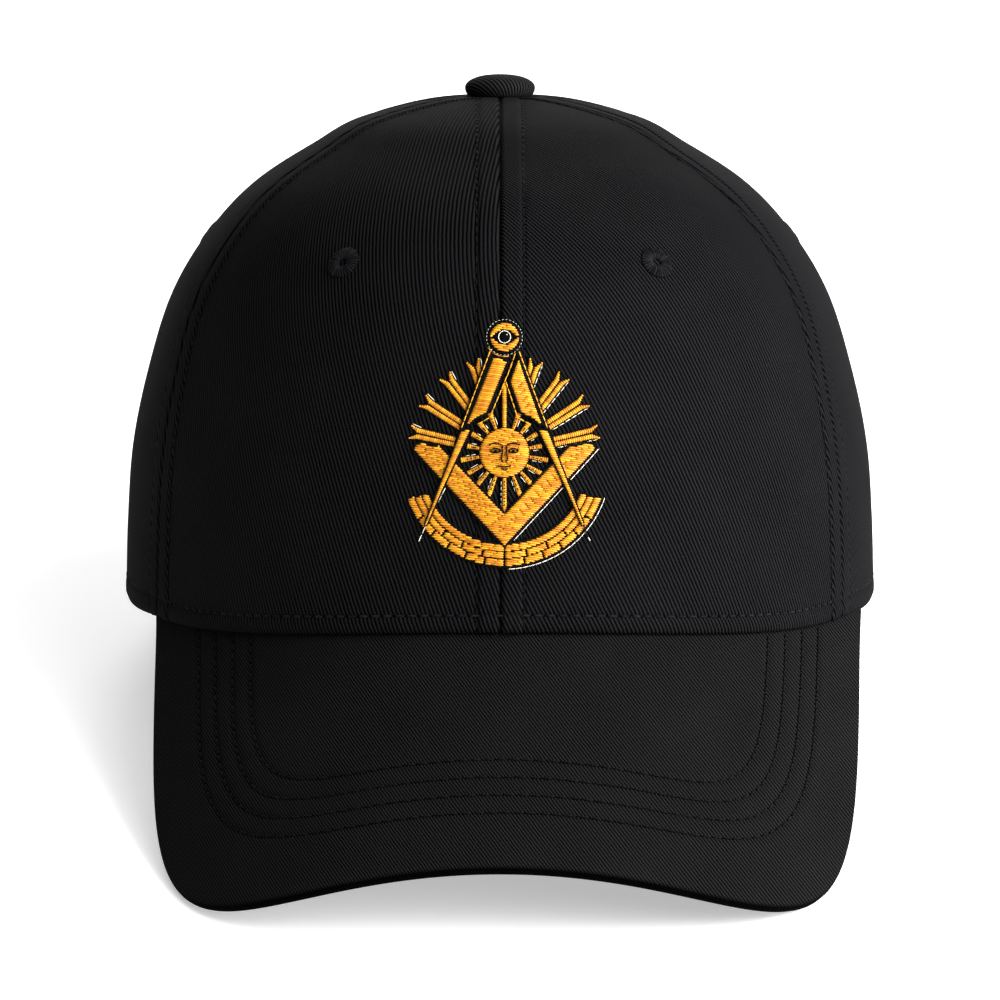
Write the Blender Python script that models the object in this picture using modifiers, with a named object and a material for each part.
"""A structured six-panel cap of black twill with a curved brim and a raised embroidered emblem.

Lengths are in metres and +Z is up. The crown and brim are first worked out in the cap's own frame: the
rim lies in the plane z = 0, the brim points along -Y, and +X is the wearer's left. The finished cap then
leans back onto the two low corners of its brim and the strap at the back, as it stands on a table.
"""

import math

import bmesh
import bpy
import numpy as np
from mathutils import Matrix, Vector

# Crown
HALF_WIDTH = 0.0910
FRONT_LENGTH = 0.0990
BACK_LENGTH = 0.0990
CROWN_HEIGHT = 0.1198
TOP_SHIFT = 0.0018
CROWN_WALL = 0.0016
POINT_RADIUS = 0.0030
FRONT_SEAM = math.radians(62.5)
BACK_SEAM = math.radians(121.0)
SEAM_GAP = 0.0003

# Brim
BRIM_LENGTH = 0.0705
BRIM_THICKNESS = 0.0032
BRIM_SLOPE = math.radians(36.6)
BRIM_BEND = math.radians(46.4)
BRIM_END = math.radians(62.9)
BRIM_FLARE = 0.0062
BRIM_SQUARENESS = 5.0
BRIM_TAPER = 0.082
BRIM_EDGE_ROUND = 0.0008

# Sweatband, back opening and strap
BAND_HEIGHT = 0.0280
BAND_THICKNESS = 0.0012
OPENING_HALF_WIDTH = 0.0380
OPENING_HEIGHT = 0.0480
STRAP_HEIGHT = 0.0200
STRAP_THICKNESS = 0.0020
STRAP_TAIL = 0.0200
BAND_TO_STRAP = 0.0015

# Button and eyelets
BUTTON_RADIUS = 0.0085
BUTTON_HEIGHT = 0.0054
BUTTON_EDGE = 0.0022
BUTTON_PULL = 0.0012
BUTTON_PULL_REACH = 0.0100
BUTTON_FOOT_RADIUS = 0.0076
BUTTON_FOOT_HEIGHT = 0.0009
RIVET_RADIUS = 0.0017
RIVET_LENGTH = 0.0045
EYELET_RISE = 0.547
EYELET_RADIUS = 0.0040
EYELET_HOLE = 0.0011
EYELET_NECK = 0.0022
EYELET_HEIGHT = 0.0009
EYELET_LIP_HEIGHT = 0.0005
EYELET_LIP_RADIUS = 0.0018
EYELET_CREST_RADIUS = 0.0032
EYELET_SHARES = {"front": 0.432, "side": 0.62, "back": 0.5}

# Emblem, in its own flat plane: x to the right, y up, from the middle of the sun
EMBLEM_HEIGHT = 0.0410
EMBLEM_ASIDE = 0.0010
RELIEF = 0.0008
SUN_RADIUS = 0.0055
SUN_RAYS = 20
SUN_RAY_REACH = 0.0084
SUN_LONG_RAY_REACH = 0.0120
SUN_RAY_WIDTH = 0.0010
SUN_RAY_END_WIDTH = 0.0005
HINGE_UP = 0.0262
HINGE_RADIUS = 0.0036
LEG_TOP_ASIDE = 0.0024
LEG_TOP_DOWN = 0.0022
LEG_WIDTH = 0.0045
LEG_SHOULDER_LENGTH = 0.0045
LEG_SHOULDER_UP = 0.0104
LEG_TIP_ASIDE = 0.0195
LEG_TIP_DOWN = 0.0202
LEG_TAPER_WIDTH = 0.0018
LEG_POINT_WIDTH = 0.0008
SQUARE_DOWN = 0.0210
SQUARE_ARM = 0.0291
SQUARE_WIDTH = 0.0046
SQUARE_END_SETBACK = 0.0023
SQUARE_END_SLOPE = 0.0052
SQUARE_END_RISE = 0.0015
ARC_DOWN = 0.0020
ARC_RADIUS = 0.0237
ARC_UNDER_SQUARE = 0.0004
ARC_SPAN = math.radians(70.0)
OUTER_RAY_ANGLES = tuple(math.radians(degrees) for degrees in (19, 38, 58, 78))
OUTER_RAY_REACH = 0.0218
OUTER_RAY_WIDTH = 0.0019
OUTER_RAY_END_WIDTH = 0.0025
OUTER_RAY_NOTCH = 0.0014
OUTER_RAY_ROOT = 0.0100

# Fits
CLEARANCE = 0.0003
BUTTON_SEAT = 0.0006
BAND_CLEARANCE = 0.0006
REST_FLAT = 0.0006

# How fine the faceted surfaces are
PANEL_COLUMNS = 7
PANEL_ROWS = 14
BRIM_COLUMNS = 26
BRIM_ROWS = 7
BAND_COLUMNS = 44
BAND_ROWS = 2
STRAP_COLUMNS = 14
EYELET_SIDES = 12
BUTTON_SIDES = 24
EMBLEM_CELL = 0.0075

# Share of the crown's height, and of its front, side and back lengths, from the rim to the top
PROFILE_COLUMNS = ("height", "front", "side", "back")
PROFILE = (
    (0.00, 1.000, 1.000, 1.000),
    (0.15, 0.997, 0.994, 0.990),
    (0.30, 0.994, 0.978, 0.965),
    (0.45, 0.985, 0.935, 0.912),
    (0.60, 0.955, 0.870, 0.838),
    (0.72, 0.878, 0.773, 0.735),
    (0.82, 0.748, 0.648, 0.612),
    (0.90, 0.558, 0.483, 0.457),
    (0.96, 0.364, 0.323, 0.307),
    (1.00, 0.000, 0.000, 0.000),
)

TWILL = ((0.008, 0.008, 0.009), 0.85)
LINING_CLOTH = ((0.012, 0.012, 0.013), 0.8)
THREAD = ((0.01, 0.01, 0.011), 0.6)
GOLD_THREAD = ((0.78, 0.42, 0.05), 0.45)

PARTS = bpy.data.collections.new("masonic_cap")
CUTTERS = bpy.data.collections.new("cutters")


def clear_scene():
    for old in list(bpy.data.objects):
        bpy.data.objects.remove(old)
    bpy.context.scene.collection.children.link(PARTS)
    bpy.context.scene.collection.children.link(CUTTERS)


def finish(name, finish_values):
    """The material of one sub-part: a colour and a roughness, and never metal."""
    colour, roughness = finish_values
    material = bpy.data.materials.new(name)
    material.use_nodes = True
    shader = material.node_tree.nodes["Principled BSDF"]
    shader.inputs["Base Color"].default_value = (*colour, 1.0)
    shader.inputs["Roughness"].default_value = roughness
    shader.inputs["Metallic"].default_value = 0.0
    return material


def add_object(name, bm, finish_values=None):
    """Keep a bmesh as a named object: a part if it has a finish, and otherwise a cutter."""
    mesh = bpy.data.meshes.new(name)
    bm.to_mesh(mesh)
    bm.free()
    made = bpy.data.objects.new(name, mesh)
    if finish_values is None:
        CUTTERS.objects.link(made)
        made.hide_render = True
        made.display_type = "WIRE"
        return made
    PARTS.objects.link(made)
    mesh.materials.append(finish(name, finish_values))
    mesh.shade_smooth()
    mesh.set_sharp_from_angle(angle=math.radians(40))
    return made


def add_boolean(made, other, operation="DIFFERENCE"):
    cut = made.modifiers.new(other.name, "BOOLEAN")
    cut.operation = operation
    cut.object = other
    cut.solver = "EXACT"


# Crown surface


def profile_at(rise, column):
    """A smooth curve through one column of the profile, rise running 0 to 1 from the rim to the top."""
    values = np.array(PROFILE)[:, PROFILE_COLUMNS.index(column)]
    below = 2 * values[0] - values[1]
    mirrored = values[-2] if column == "height" else -values[-2]
    knots = np.concatenate([[below], values, [mirrored]])
    place = np.clip(rise, 0.0, 1.0) * (len(values) - 1)
    left = np.minimum(place.astype(int), len(values) - 2)
    t = place - left
    before, start, end, after = (knots[left + step] for step in range(4))
    return start + 0.5 * t * (end - before + t * (
        2 * before - 5 * start + 4 * end - after + t * (3 * (start - end) + after - before)))


def brim_bend_radius():
    """The brim is a piece of a cylinder; its ends meet the wall's inner face at BRIM_END."""
    return (HALF_WIDTH - CROWN_WALL) * math.sin(BRIM_END) / math.sin(BRIM_BEND)


def wall_foot(azimuth):
    """Where the inner face of the crown's wall stands, x and y, at an azimuth from -Y towards +X."""
    x = (HALF_WIDTH - CROWN_WALL) * np.sin(azimuth)
    y = -(FRONT_LENGTH - CROWN_WALL) * np.cos(azimuth)
    return x, y


def unroll(azimuth):
    """The wall's foot in the flat brim: u across it, and v out along its slope."""
    x, y = wall_foot(azimuth)
    turn = np.arcsin(x / brim_bend_radius())
    sag = brim_bend_radius() * (1 - np.cos(turn))
    v = (-(FRONT_LENGTH - CROWN_WALL) - y + sag * math.sin(BRIM_SLOPE)) / math.cos(BRIM_SLOPE)
    return turn * brim_bend_radius(), v


def brim_drop(u, v):
    """How far a point of the brim's upper face lies below the front of the rim."""
    sag = brim_bend_radius() * (1 - np.cos(u / brim_bend_radius()))
    return v * math.sin(BRIM_SLOPE) + sag * math.cos(BRIM_SLOPE)


def rim_height(azimuth):
    """The rim follows the brim's upper face in front, and is level behind the brim's ends."""
    turn = (np.asarray(azimuth) + math.pi) % (2 * math.pi) - math.pi
    held = np.minimum(np.abs(turn), BRIM_END)
    return brim_drop(*unroll(np.float64(BRIM_END))) - brim_drop(*unroll(held))


def crown_point(azimuth, rise):
    """The crown's outer face: an ellipse at each height, whose shares blend from front to side to back.

    Near the top the button pulls the panel points down into a shallow dish.
    """
    azimuth, rise = np.broadcast_arrays(np.asarray(azimuth, float), np.asarray(rise, float))
    forward = np.cos(azimuth)
    end = np.where(forward > 0, profile_at(rise, "front"), profile_at(rise, "back"))
    share = profile_at(rise, "side") + (end - profile_at(rise, "side")) * forward ** 2
    length = np.where(forward > 0, FRONT_LENGTH, BACK_LENGTH)
    height = profile_at(rise, "height")
    x = (POINT_RADIUS + share * (HALF_WIDTH - POINT_RADIUS)) * np.sin(azimuth)
    y = TOP_SHIFT * (1 - share) - (POINT_RADIUS + share * (length - POINT_RADIUS)) * forward
    z = rim_height(azimuth) * (1 - height) ** 2 + CROWN_HEIGHT * height
    z = z - BUTTON_PULL * np.exp(-(x ** 2 + (y - TOP_SHIFT) ** 2) / BUTTON_PULL_REACH ** 2)
    return np.stack([x, y, z], axis=-1)


def crown_lifted(azimuth, rise, lift):
    """A point of the crown moved out along its normal by lift, or in where lift is negative."""
    step = 1e-4
    around = crown_point(azimuth + step, rise) - crown_point(azimuth - step, rise)
    up = crown_point(azimuth, np.minimum(rise + step, 1.0)) - crown_point(azimuth, np.maximum(rise - step, 0.0))
    normal = np.cross(around, up)
    normal /= np.linalg.norm(normal, axis=-1, keepdims=True)
    return crown_point(azimuth, rise) + normal * np.asarray(lift)[..., None]


def rise_at(height):
    """The rise at which the crown reaches a height above the rim."""
    fine = np.linspace(0.0, 1.0, 400)
    return np.interp(height / CROWN_HEIGHT, profile_at(fine, "height"), fine)


# Sheets


def sheet(name, columns, rows, place, thickness, finish_values):
    """A grid laid out by place(across, along), both 0 to 1, with a wall behind its outer face."""
    bm = bmesh.new()
    bmesh.ops.create_grid(bm, x_segments=columns, y_segments=rows, size=0.5)
    shares = np.array([vert.co[:2] for vert in bm.verts]) + 0.5
    for vert, point in zip(bm.verts, place(shares[:, 0], shares[:, 1])):
        vert.co = point
    made = add_object(name, bm, finish_values)
    wall = made.modifiers.new("wall", "SOLIDIFY")
    wall.thickness = thickness
    wall.offset = -1.0
    wall.use_even_offset = True
    return made


def add_panel(name, first, last):
    """One panel of the crown between two seams, each edge held back by half the gap between panels."""
    half_segment = (last - first) / PANEL_COLUMNS / 2
    setback = SEAM_GAP / 2 + CROWN_WALL * math.sin(half_segment)
    step = 1e-4

    def edge(azimuth, rise, side):
        reach = np.linalg.norm(crown_point(azimuth + step, rise) - crown_point(azimuth - step, rise), axis=-1)
        return azimuth + side * setback * 2 * step / reach

    def place(across, along):
        start = edge(np.full_like(along, first), along, 1)
        end = edge(np.full_like(along, last), along, -1)
        return crown_point(start + across * (end - start), along)

    return sheet(name, PANEL_COLUMNS, PANEL_ROWS, place, CROWN_WALL, TWILL)


def add_sweatband():
    """A band just inside the wall, from one tail of the strap round the front to the other."""
    end = math.pi - strap_half_span() - BAND_TO_STRAP / HALF_WIDTH
    foot = rise_at(CLEARANCE * 2)
    top = rise_at(BAND_HEIGHT)

    def place(across, along):
        azimuth = (across * 2 - 1) * end
        return crown_lifted(azimuth, foot + along * (top - foot), np.full_like(along, -CROWN_WALL - BAND_CLEARANCE))

    return sheet("sweatband", BAND_COLUMNS, BAND_ROWS, place, BAND_THICKNESS, LINING_CLOTH)


def strap_half_span():
    """Azimuth that the strap reaches to each side of the back seam: the opening and one tail."""
    return math.asin(OPENING_HALF_WIDTH / HALF_WIDTH) + STRAP_TAIL / HALF_WIDTH


def add_strap():
    """The closure strap, inside the wall at both ends, with its lower edge level with the rim."""
    top = rise_at(STRAP_HEIGHT)

    def place(across, along):
        azimuth = math.pi + (across * 2 - 1) * strap_half_span()
        return crown_lifted(azimuth, along * top, np.full_like(along, -CROWN_WALL - BAND_CLEARANCE))

    return sheet("closure_strap", STRAP_COLUMNS, 1, place, STRAP_THICKNESS, TWILL)


def add_brim():
    """The brim: from the wall's foot out to a squarish outline, bent over a sloping cylinder."""
    bend = brim_bend_radius()
    end_u, end_v = unroll(np.float64(BRIM_END))
    front_v = CROWN_WALL / math.cos(BRIM_SLOPE) + BRIM_LENGTH

    def outline(turn):
        across = np.abs(np.sin(turn)) / (end_u + BRIM_FLARE)
        along = np.cos(turn) / (front_v - end_v)
        reach = (across ** BRIM_SQUARENESS + along ** BRIM_SQUARENESS) ** (-1 / BRIM_SQUARENESS)
        narrowing = 1 - BRIM_TAPER * reach * np.cos(turn) / (front_v - end_v)
        return reach * np.sin(turn) * narrowing, end_v + reach * np.cos(turn)

    def place(across, along):
        side = across * 2 - 1
        inner_u, inner_v = unroll(side * BRIM_END)
        outer_u, outer_v = outline(side * math.pi / 2)
        u = inner_u + (1 - along) * (outer_u - inner_u)
        v = inner_v + (1 - along) * (outer_v - inner_v)
        sag = bend * (1 - np.cos(u / bend))
        x = bend * np.sin(u / bend)
        y = -(FRONT_LENGTH - CROWN_WALL) - v * math.cos(BRIM_SLOPE) + sag * math.sin(BRIM_SLOPE)
        z = brim_drop(end_u, end_v) - brim_drop(u, v) - CLEARANCE
        return np.stack([x, y, z], axis=-1)

    made = sheet("brim", BRIM_COLUMNS, BRIM_ROWS, place, BRIM_THICKNESS, TWILL)
    round_edge = made.modifiers.new("edge", "BEVEL")
    round_edge.width = BRIM_EDGE_ROUND
    round_edge.segments = 2
    round_edge.limit_method = "ANGLE"
    round_edge.angle_limit = math.radians(50)
    return made


# Turned pieces


def turned(name, profile, sides, finish_values):
    """A closed profile of (radius, height) points turned about Z, its outer side listed downwards."""
    bm = bmesh.new()
    verts = [bm.verts.new((radius, 0.0, height)) for radius, height in profile]
    for start, end in zip(verts, verts[1:]):
        bm.edges.new((start, end))
    if profile[0][0] > 0:
        bm.edges.new((verts[-1], verts[0]))
    made = add_object(name, bm, finish_values)
    screw = made.modifiers.new("turn", "SCREW")
    screw.steps = sides
    screw.render_steps = sides
    screw.use_merge_vertices = True
    screw.merge_threshold = 0.00001
    return made


def add_button():
    """The covered button: a low dome on the panel points, with its rivet through them."""
    shoulder = BUTTON_HEIGHT - BUTTON_EDGE
    dome = [(BUTTON_RADIUS * math.sin(turn), BUTTON_EDGE + shoulder * math.cos(turn))
            for turn in np.radians((0, 20, 42, 66, 90))]
    dome[0] = (0.0, BUTTON_HEIGHT)
    underside = [(BUTTON_RADIUS, BUTTON_FOOT_HEIGHT), (BUTTON_FOOT_RADIUS, 0.0)]
    rivet = [(RIVET_RADIUS, 0.0), (RIVET_RADIUS, -RIVET_LENGTH), (0.0, -RIVET_LENGTH)]
    made = turned("top_button", dome + underside + rivet, BUTTON_SIDES, TWILL)
    made.location = (0.0, TOP_SHIFT, CROWN_HEIGHT - BUTTON_PULL + BUTTON_SEAT)
    return made


def add_eyelet(name, azimuth, panel):
    """A sewn eyelet: a low ring on the cloth whose neck lines a hole through the panel."""
    under = -CROWN_WALL - CLEARANCE
    profile = [(EYELET_HOLE, EYELET_LIP_HEIGHT), (EYELET_LIP_RADIUS, EYELET_HEIGHT),
               (EYELET_CREST_RADIUS, EYELET_HEIGHT), (EYELET_RADIUS, CLEARANCE),
               (EYELET_NECK, CLEARANCE), (EYELET_NECK, under), (EYELET_HOLE, under)]
    made = turned(name, profile, EYELET_SIDES, THREAD)
    seat = Vector(crown_point(azimuth, EYELET_RISE))
    outward = Vector(crown_lifted(np.float64(azimuth), np.float64(EYELET_RISE), 1.0)) - seat
    made.location = seat
    made.rotation_mode = "QUATERNION"
    made.rotation_quaternion = outward.to_track_quat("Z", "Y")

    bm = bmesh.new()
    bmesh.ops.create_cone(bm, cap_ends=True, segments=EYELET_SIDES, radius1=EYELET_NECK + CLEARANCE,
                          radius2=EYELET_NECK + CLEARANCE, depth=CROWN_WALL * 4)
    hole = add_object(name + "_hole", bm)
    hole.location = made.location
    hole.rotation_mode = "QUATERNION"
    hole.rotation_quaternion = made.rotation_quaternion
    add_boolean(panel, hole)
    return made, hole


# Emblem


def plate(name, outline, finish_values=None):
    """A flat outline as a plate of the relief's thickness, with its back on z = 0."""
    curve = bpy.data.curves.new(name, "CURVE")
    curve.dimensions = "2D"
    curve.fill_mode = "BOTH"
    curve.extrude = RELIEF / 2
    spline = curve.splines.new("POLY")
    spline.points.add(len(outline) - 1)
    for point, (x, y) in zip(spline.points, outline):
        point.co = (x, y, 0.0, 1.0)
    spline.use_cyclic_u = True
    drawn = bpy.data.objects.new(name, curve)
    CUTTERS.objects.link(drawn)
    drawn.location.z = RELIEF / 2
    bpy.context.view_layer.update()
    flat = bpy.data.meshes.new_from_object(drawn.evaluated_get(bpy.context.evaluated_depsgraph_get()))
    bm = bmesh.new()
    bm.from_mesh(flat)
    bmesh.ops.remove_doubles(bm, verts=bm.verts, dist=0.000001)
    bmesh.ops.recalc_face_normals(bm, faces=bm.faces)
    bm.transform(drawn.matrix_world)
    bpy.data.objects.remove(drawn)
    bpy.data.meshes.remove(flat)
    return add_object(name, bm, finish_values)


def arc_points(radius, first, last, count, centre=(0.0, 0.0)):
    """Points along an arc, its angles measured from straight down towards +x."""
    turn = np.linspace(first, last, count)
    return [(centre[0] + radius * math.sin(t), centre[1] - radius * math.cos(t)) for t in turn]


def leg_outline(side):
    """A compass leg: a wide upper arm, a sloping shoulder, and a thin taper down to the point."""
    top = Vector((LEG_TOP_ASIDE, HINGE_UP - LEG_TOP_DOWN))
    tip = Vector((LEG_TIP_ASIDE, -LEG_TIP_DOWN))
    along = (tip - top).normalized()
    inward = Vector((along.y, -along.x))
    shoulder = top + along * ((top.y - LEG_SHOULDER_UP) / -along.y)
    outer = [top, tip]
    inner = [tip + inward * LEG_POINT_WIDTH, shoulder + along * LEG_SHOULDER_LENGTH + inward * LEG_TAPER_WIDTH,
             shoulder + inward * LEG_WIDTH, top + inward * LEG_WIDTH]
    return [(side * point.x, point.y) for point in outer + inner]


def square_outline():
    """The square: two arms at right angles, each at 45 degrees, with sloping ends."""
    slant = math.sqrt(0.5)
    reach = SQUARE_ARM * slant
    width = SQUARE_WIDTH * slant
    top = -SQUARE_DOWN + reach + SQUARE_END_RISE
    inner_end = reach - SQUARE_END_SLOPE
    arm = [(reach, -SQUARE_DOWN + reach), (reach - SQUARE_END_SETBACK, top),
           (inner_end, -SQUARE_DOWN + inner_end + 2 * width)]
    other_arm = [(-x, y) for x, y in reversed(arm)]
    return [(0.0, -SQUARE_DOWN), *arm, (0.0, -SQUARE_DOWN + 2 * width), *other_arm]


def outer_ray_outline(side, angle):
    """A ray past the compasses with a swallow-tailed end."""
    out = Vector((side * math.sin(angle), math.cos(angle)))
    across = Vector((out.y, -out.x))
    root, end = across * OUTER_RAY_WIDTH / 2, across * OUTER_RAY_END_WIDTH / 2
    ends = [out * OUTER_RAY_ROOT - root, out * OUTER_RAY_REACH - end,
            out * (OUTER_RAY_REACH - OUTER_RAY_NOTCH), out * OUTER_RAY_REACH + end,
            out * OUTER_RAY_ROOT + root]
    return [tuple(point) for point in ends]


def sun_outline():
    """The sun's disc with its rays as one star; the rays straight up and down are longer."""
    points = []
    for number in range(SUN_RAYS):
        angle = 2 * math.pi * number / SUN_RAYS
        upright = number % (SUN_RAYS // 2) == 0
        reach = SUN_LONG_RAY_REACH if upright else SUN_RAY_REACH
        out = Vector((math.sin(angle), math.cos(angle)))
        across = Vector((out.y, -out.x))
        start, end = across * SUN_RAY_WIDTH / 2, across * SUN_RAY_END_WIDTH / 2
        root = out * math.sqrt(SUN_RADIUS ** 2 - (SUN_RAY_WIDTH / 2) ** 2)
        points += [root - start, out * reach - end, out * reach + end, root + start]
    return [tuple(point) for point in points]


def drape(made):
    """Cut a flat plate into cells and lay it on the crown's front, the clearance above the cloth."""
    bpy.context.view_layer.update()
    flat = bpy.data.meshes.new_from_object(made.evaluated_get(bpy.context.evaluated_depsgraph_get()))
    made.modifiers.clear()
    bm = bmesh.new()
    bm.from_mesh(flat)
    bpy.data.meshes.remove(flat)
    bmesh.ops.remove_doubles(bm, verts=bm.verts, dist=0.000001)
    reach = max(abs(value) for vert in bm.verts for value in vert.co.xy)
    count = int(reach / EMBLEM_CELL)
    for axis in (Vector((1, 0, 0)), Vector((0, 1, 0))):
        for number in range(-count, count + 1):
            faces = bm.verts[:] + bm.edges[:] + bm.faces[:]
            bmesh.ops.bisect_plane(bm, geom=faces, plane_co=axis * (number + 0.5) * EMBLEM_CELL, plane_no=axis,
                                   dist=0.000001)
    bmesh.ops.triangulate(bm, faces=bm.faces)

    rises = np.linspace(0.0, 1.0, 400)
    front = crown_point(np.zeros_like(rises), rises)
    lengths = np.concatenate([[0.0], np.cumsum(np.linalg.norm(np.diff(front, axis=0), axis=1))])
    places = np.array([vert.co[:] for vert in bm.verts])
    rise = np.interp(places[:, 1] + EMBLEM_HEIGHT, lengths, rises)
    step = 1e-3
    around = np.linalg.norm(crown_point(step, rise) - crown_point(0.0, rise), axis=-1) / step
    azimuth = (places[:, 0] + EMBLEM_ASIDE) / around
    for vert, point in zip(bm.verts, crown_lifted(azimuth, rise, places[:, 2] + CLEARANCE)):
        vert.co = point
    bm.to_mesh(made.data)
    bm.free()
    return made


def add_emblem():
    """The square and compasses with their arc and outer rays as one relief, and the sun inside it."""
    frame = plate("emblem_square_and_compasses", leg_outline(1), GOLD_THREAD)
    disc = arc_points(HINGE_RADIUS, 0.0, 2 * math.pi, 17, (0.0, HINGE_UP))[:-1]
    inner_radius = SQUARE_DOWN - ARC_DOWN - ARC_UNDER_SQUARE
    arc = (arc_points(ARC_RADIUS, -ARC_SPAN, ARC_SPAN, 21, (0.0, -ARC_DOWN))
           + arc_points(inner_radius, ARC_SPAN, -ARC_SPAN, 21, (0.0, -ARC_DOWN)))
    outlines = {"other_leg": leg_outline(-1), "hinge": disc, "arc": arc, "square": square_outline()}
    for side, word in ((1, "right"), (-1, "left")):
        for number, angle in enumerate(OUTER_RAY_ANGLES):
            outlines[f"ray_{word}_{number}"] = outer_ray_outline(side, angle)
    joined = [plate(name, outline) for name, outline in outlines.items()]
    for piece in joined:
        add_boolean(frame, piece, "UNION")
    drape(frame)
    for piece in joined:
        bpy.data.objects.remove(piece)
    return [frame, drape(plate("emblem_sun", sun_outline(), GOLD_THREAD))]


# Assembly


def add_opening_cutter(panels):
    """The half-oval opening over the strap."""
    bm = bmesh.new()
    bmesh.ops.create_cone(bm, cap_ends=True, segments=40, radius1=1.0, radius2=1.0, depth=BACK_LENGTH)
    bm.transform(Matrix.Translation((0.0, BACK_LENGTH, 0.0))
                 @ Matrix.Diagonal((OPENING_HALF_WIDTH, 1.0, OPENING_HEIGHT, 1.0))
                 @ Matrix.Rotation(math.pi / 2, 4, "X"))
    opening = add_object("back_opening", bm)
    for panel in panels:
        add_boolean(panel, opening)
    return opening


def world_corners(made):
    bpy.context.view_layer.update()
    solid = made.evaluated_get(bpy.context.evaluated_depsgraph_get())
    return np.array([solid.matrix_world @ vert.co for vert in solid.data.vertices])


def lean_back(brim, strap):
    """The lean at which the brim's lowest corners and the strap's lower edge meet one level surface."""
    back = world_corners(strap)
    heel = back[np.argmax(back[:, 1] - 10 * back[:, 2])]
    reach = world_corners(brim)
    return float(np.max(np.arctan2(heel[2] - reach[:, 2], heel[1] - reach[:, 1])))


def stand(made, brim, strap):
    """Lean the cap back on an empty, centre its box over the origin, and flatten what it stands on."""
    rest = bpy.data.objects.new("rest", None)
    PARTS.objects.link(rest)
    lean = lean_back(brim, strap)
    for piece in made:
        piece.parent = rest
    rest.rotation_euler.x = -lean
    solids = [piece for piece in made if piece.name in PARTS.objects]
    spread = np.concatenate([world_corners(piece) for piece in solids])
    low, high = spread.min(axis=0), spread.max(axis=0)
    rest.location = (-(low[0] + high[0]) / 2, -(low[1] + high[1]) / 2, -low[2] - REST_FLAT)

    bm = bmesh.new()
    bmesh.ops.create_cube(bm, size=1.0)
    ground = add_object("ground", bm)
    ground.location.z = -0.5
    for piece in (brim, strap):
        add_boolean(piece, ground)


def build():
    clear_scene()
    seams = {"front": (0.0, FRONT_SEAM), "side": (FRONT_SEAM, BACK_SEAM), "back": (BACK_SEAM, math.pi)}
    made = []
    back_panels = []
    for word, (first, last) in seams.items():
        share = EYELET_SHARES[word]
        for hand, side in (("right", 1), ("left", -1)):
            start, end = (first, last) if side == 1 else (-last, -first)
            panel = add_panel(f"panel_{word}_{hand}", start, end)
            eyelet, hole = add_eyelet(f"eyelet_{word}_{hand}", side * (first + share * (last - first)), panel)
            made += [panel, eyelet, hole]
            if word == "back":
                back_panels.append(panel)
    made.append(add_opening_cutter(back_panels))
    brim = add_brim()
    strap = add_strap()
    made += [brim, strap, add_sweatband(), add_button(), *add_emblem()]
    stand(made, brim, strap)


build()
